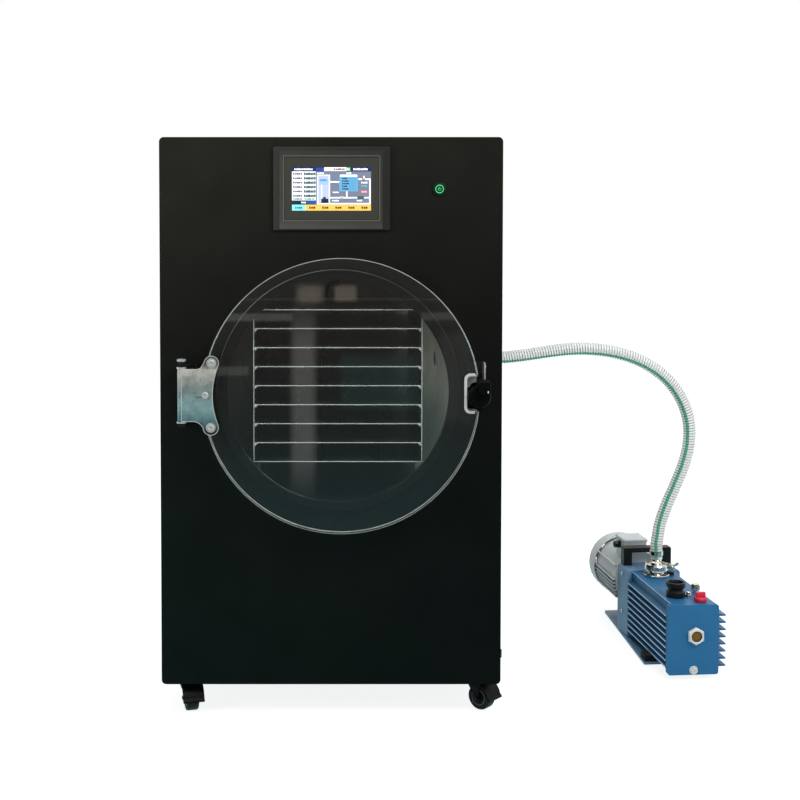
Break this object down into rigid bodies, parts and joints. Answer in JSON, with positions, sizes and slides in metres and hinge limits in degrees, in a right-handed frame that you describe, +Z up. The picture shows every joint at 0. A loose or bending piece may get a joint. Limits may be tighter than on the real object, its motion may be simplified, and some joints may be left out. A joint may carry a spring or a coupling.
{
  "type": "freeze dryer",
  "caption": "Free-standing vacuum freeze dryer: a black cabinet on casters with a round clear door, a tray rack and a touch screen, joined by a hose to its oil-sealed vacuum pump.",
  "frame": {"origin": "middle of the footprint on the floor, measured without the hose", "axes": "+X to the right as one faces the door, +Y towards the back, +Z up"},
  "size_m": [1.1678, 0.83, 1.1274],
  "materials": {
    "frame_steel": "powder coat, satin",
    "cabinet_black": "smooth black powder coat, satin gloss",
    "stainless": "rolled and lightly brushed",
    "zinc": "zinc plated, pale blue-green cast",
    "chrome": "nickel plated",
    "aluminium": "mill finish",
    "foam": "closed-cell foam",
    "silicone": "translucent grey silicone",
    "black_plastic": "moulded, fine grain",
    "bezel_plastic": "moulded, satin",
    "screen": "lit display behind glass",
    "acrylic": "clear cast acrylic, polished edge",
    "rubber_black": "moulded",
    "tread": "moulded tread on a nylon wheel",
    "pump_blue": "textured enamel",
    "bracket_blue": "textured enamel",
    "motor_grey": "enamel",
    "filler_red": "moulded",
    "hose_clear": "clear plastic with a steel spiral in its wall"
  },
  "bodies": {
    "cabinet": {"base_frame": "frame_steel", "button_housing": "black_plastic", "carry_handle": "black_plastic", "chamber_insulation": "foam", "clamp_ring": "chrome", "compressor": "black_plastic", "condenser": "aluminium", "control_box": "frame_steel", "door_gasket": "silicone", "drain_valve": "black_plastic", "exhaust_filter": "black_plastic", "fan_cover": "motor_grey", "fan_shroud": "frame_steel", "front_panel": "cabinet_black", "hinge_bracket": "black_plastic", "hose_outlet": "stainless", "inlet_port": "chrome", "latch_bracket": "zinc", "left_side_panel": "cabinet_black", "motor_housing": "motor_grey", "oil_casing": "pump_blue", "pump_base": "bracket_blue", "rack_cable": "rubber_black", "rack_frame": "stainless", "rear_panel": "cabinet_black", "right_side_panel": "cabinet_black", "screen_bezel": "bezel_plastic", "screen_display": "screen", "shelf_1": "stainless", "shelf_2": "stainless", "shelf_3": "stainless", "shelf_4": "stainless", "shelf_5": "stainless", "shelf_6": "stainless", "shelf_7": "stainless", "shelf_8": "stainless", "sight_glass": "chrome", "top_panel": "cabinet_black", "vacuum_chamber": "stainless", "vacuum_hose": "hose_clear"},
    "door": {"door_disc": "acrylic", "hinge_plate": "zinc", "latch_keeper": "zinc"},
    "latch": {"latch_knob": "black_plastic"},
    "start_button": {"power_button": "black_plastic"},
    "cooling_fan": {"condenser_fan": "black_plastic"},
    "drain_tap": {"drain_knob": "black_plastic"},
    "pump_fan": {"motor_fan": "black_plastic"},
    "ballast": {"ballast_knob": "chrome"},
    "filler": {"oil_filler_cap": "filler_red"},
    "swivel_front_left": {"caster_fork_front_left": "black_plastic"},
    "wheel_front_left": {"caster_wheel_front_left": "tread"},
    "swivel_front_right": {"caster_fork_front_right": "black_plastic"},
    "wheel_front_right": {"caster_wheel_front_right": "tread"},
    "swivel_rear_left": {"caster_fork_rear_left": "black_plastic"},
    "wheel_rear_left": {"caster_wheel_rear_left": "tread"},
    "swivel_rear_right": {"caster_fork_rear_right": "black_plastic"},
    "wheel_rear_right": {"caster_wheel_rear_right": "tread"},
    "pedal_front_left": {"caster_brake_front_left": "black_plastic"},
    "pedal_front_right": {"caster_brake_front_right": "black_plastic"}
  },
  "joints": [
    {"name": "door_hinge", "type": "hinge", "parent": "cabinet", "child": "door", "pos_m": [-0.53787, -0.3843, 0.636], "axis": [0, 0, -1], "range_deg": [0, 120]},
    {"name": "latch_turn", "type": "hinge", "parent": "cabinet", "child": "latch", "pos_m": [0.02643, -0.399, 0.6345], "axis": [0, -1, 0], "range_deg": [0, 90]},
    {"name": "start_button_press", "type": "slide", "parent": "cabinet", "child": "start_button", "axis": [0, 1, 0], "range_m": [0, 0.0025], "stiffness_N_per_m": 400},
    {"name": "cooling_fan_spin", "type": "hinge", "parent": "cabinet", "child": "cooling_fan", "pos_m": [-0.06887, -0.01, 0.2073], "axis": [1, 0, 0], "continuous": true},
    {"name": "drain_tap_turn", "type": "hinge", "parent": "cabinet", "child": "drain_tap", "pos_m": [0.07913, -0.275, 0.1024], "axis": [1, 0, 0], "range_deg": [0, 90]},
    {"name": "pump_fan_spin", "type": "hinge", "parent": "cabinet", "child": "pump_fan", "pos_m": [0.47049, 0.35172, 0.12], "axis": [-0.0837, 0.9965, 0], "continuous": true},
    {"name": "ballast_turn", "type": "hinge", "parent": "cabinet", "child": "ballast", "pos_m": [0.53964, -0.05351, 0.171], "axis": [0, 0, 1], "range_deg": [0, 180]},
    {"name": "filler_turn", "type": "hinge", "parent": "cabinet", "child": "filler", "pos_m": [0.53196, -0.11738, 0.171], "axis": [0, 0, 1], "range_deg": [0, 90]},
    {"name": "swivel_turn_front_left", "type": "hinge", "parent": "cabinet", "child": "swivel_front_left", "pos_m": [-0.53687, -0.283, 0.08], "axis": [0, 0, 1], "continuous": true},
    {"name": "wheel_roll_front_left", "type": "hinge", "parent": "swivel_front_left", "child": "wheel_front_left", "pos_m": [-0.5308, -0.30415, 0.025], "axis": [0.9613, 0.2756, 0], "continuous": true},
    {"name": "pedal_press_front_left", "type": "hinge", "parent": "swivel_front_left", "child": "pedal_front_left", "pos_m": [-0.53356, -0.29453, 0.053], "axis": [0.9613, 0.2756, 0], "range_deg": [0, 4]},
    {"name": "swivel_turn_front_right", "type": "hinge", "parent": "cabinet", "child": "swivel_front_right", "pos_m": [0.02913, -0.283, 0.08], "axis": [0, 0, 1], "continuous": true},
    {"name": "wheel_roll_front_right", "type": "hinge", "parent": "swivel_front_right", "child": "wheel_front_right", "pos_m": [0.04548, -0.29772, 0.025], "axis": [0.6691, 0.7431, 0], "continuous": true},
    {"name": "pedal_press_front_right", "type": "hinge", "parent": "swivel_front_right", "child": "pedal_front_right", "pos_m": [0.03805, -0.29103, 0.053], "axis": [0.6691, 0.7431, 0], "range_deg": [0, 4]},
    {"name": "swivel_turn_rear_left", "type": "hinge", "parent": "cabinet", "child": "swivel_rear_left", "pos_m": [-0.53687, 0.345, 0.08], "axis": [0, 0, 1], "continuous": true},
    {"name": "wheel_roll_rear_left", "type": "hinge", "parent": "swivel_rear_left", "child": "wheel_rear_left", "pos_m": [-0.54144, 0.32348, 0.025], "axis": [0.9781, -0.2079, 0], "continuous": true},
    {"name": "swivel_turn_rear_right", "type": "hinge", "parent": "cabinet", "child": "swivel_rear_right", "pos_m": [0.02913, 0.345, 0.08], "axis": [0, 0, 1], "continuous": true},
    {"name": "wheel_roll_rear_right", "type": "hinge", "parent": "swivel_rear_right", "child": "wheel_rear_right", "pos_m": [0.03666, 0.32433, 0.025], "axis": [0.9397, 0.342, 0], "continuous": true}
  ]
}
